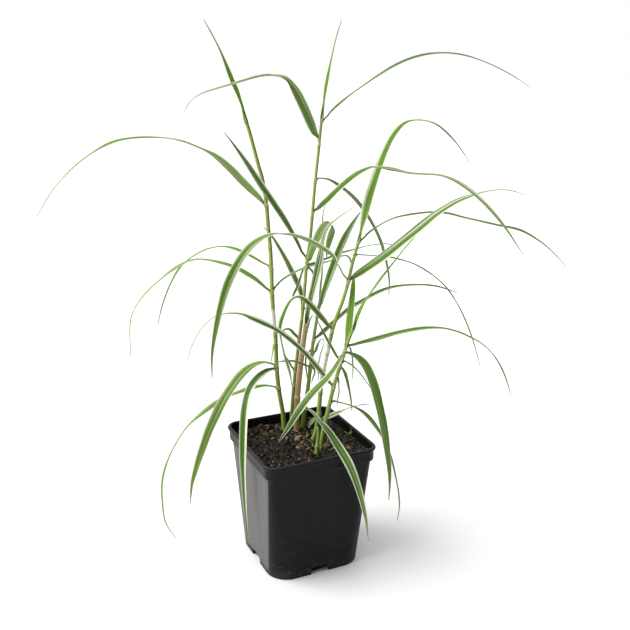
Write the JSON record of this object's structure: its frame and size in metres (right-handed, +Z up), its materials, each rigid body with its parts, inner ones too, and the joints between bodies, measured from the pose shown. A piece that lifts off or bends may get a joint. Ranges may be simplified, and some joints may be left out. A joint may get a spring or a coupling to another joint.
{
  "type": "potted ribbon grass",
  "caption": "Clump of variegated ribbon grass with jointed culms and long arching striped leaves, in a square black plastic nursery pot filled with dark soil.",
  "frame": {"origin": "middle of the pot's underside, on the surface that the pot stands on", "axes": "+Z up, along the pot's middle line; the pot's four sides face +X, -X, +Y and -Y, with -Y the front; seen from in front and to the left, between -X and -Y, in the picture"},
  "size_m": [0.4415, 0.3336, 0.4861],
  "materials": {
    "pot_plastic": "satin",
    "soil": "matte",
    "culm_green": "satin",
    "culm_pale": "satin",
    "culm_brown": "matte",
    "blade": "satin",
    "spear": "satin"
  },
  "bodies": {
    "root": {"pot": "pot_plastic", "soil": "soil", "culm_left": "culm_green", "culm_tall": "culm_green", "culm_brown": "culm_brown", "culm_back": "culm_green", "culm_middle": "culm_pale", "culm_right": "culm_green", "shoot_pale": "culm_pale", "spear_left": "spear", "leaf_left_great_arch": "blade", "leaf_left_thin_arch": "blade", "leaf_left_long_arch": "blade", "leaf_left_inner": "blade", "leaf_left_low_sweep": "blade", "leaf_left_over_corner": "blade", "leaf_left_low_long": "blade", "spear_tall": "spear", "leaf_tall_thin_arch": "blade", "leaf_tall_folded": "blade", "leaf_tall_behind": "blade", "leaf_tall_long_right": "blade", "leaf_tall_dark": "blade", "leaf_tall_bright_fold": "blade", "leaf_tall_low_left": "blade", "leaf_tall_thin_right": "blade", "leaf_tall_up_left": "blade", "leaf_tall_small_arch": "blade", "leaf_tall_short": "blade", "leaf_brown_top": "blade", "leaf_back_top": "blade", "spear_back": "spear", "leaf_back_right": "blade", "leaf_back_fold": "blade", "leaf_back_left": "blade", "leaf_back_hanging": "blade", "leaf_back_over_rim": "blade", "leaf_middle_top": "blade", "leaf_middle_thin": "blade", "leaf_middle_wide": "blade", "leaf_middle_front_arch": "blade", "leaf_middle_falling": "blade", "leaf_middle_far_arch": "blade", "leaf_middle_low": "blade", "leaf_middle_striped": "blade", "spear_right": "spear", "leaf_right_upright": "blade", "leaf_right_long": "blade", "leaf_right_broad": "blade", "leaf_right_front": "blade", "leaf_right_across": "blade", "leaf_right_folded": "blade", "leaf_right_over_side": "blade", "leaf_right_narrow": "blade", "leaf_right_thin": "blade", "leaf_right_drooping": "blade", "leaf_right_hanging": "blade", "leaf_tall_drooping": "blade", "leaf_left_pale": "blade", "leaf_back_small": "blade"}
  },
  "joints": []
}
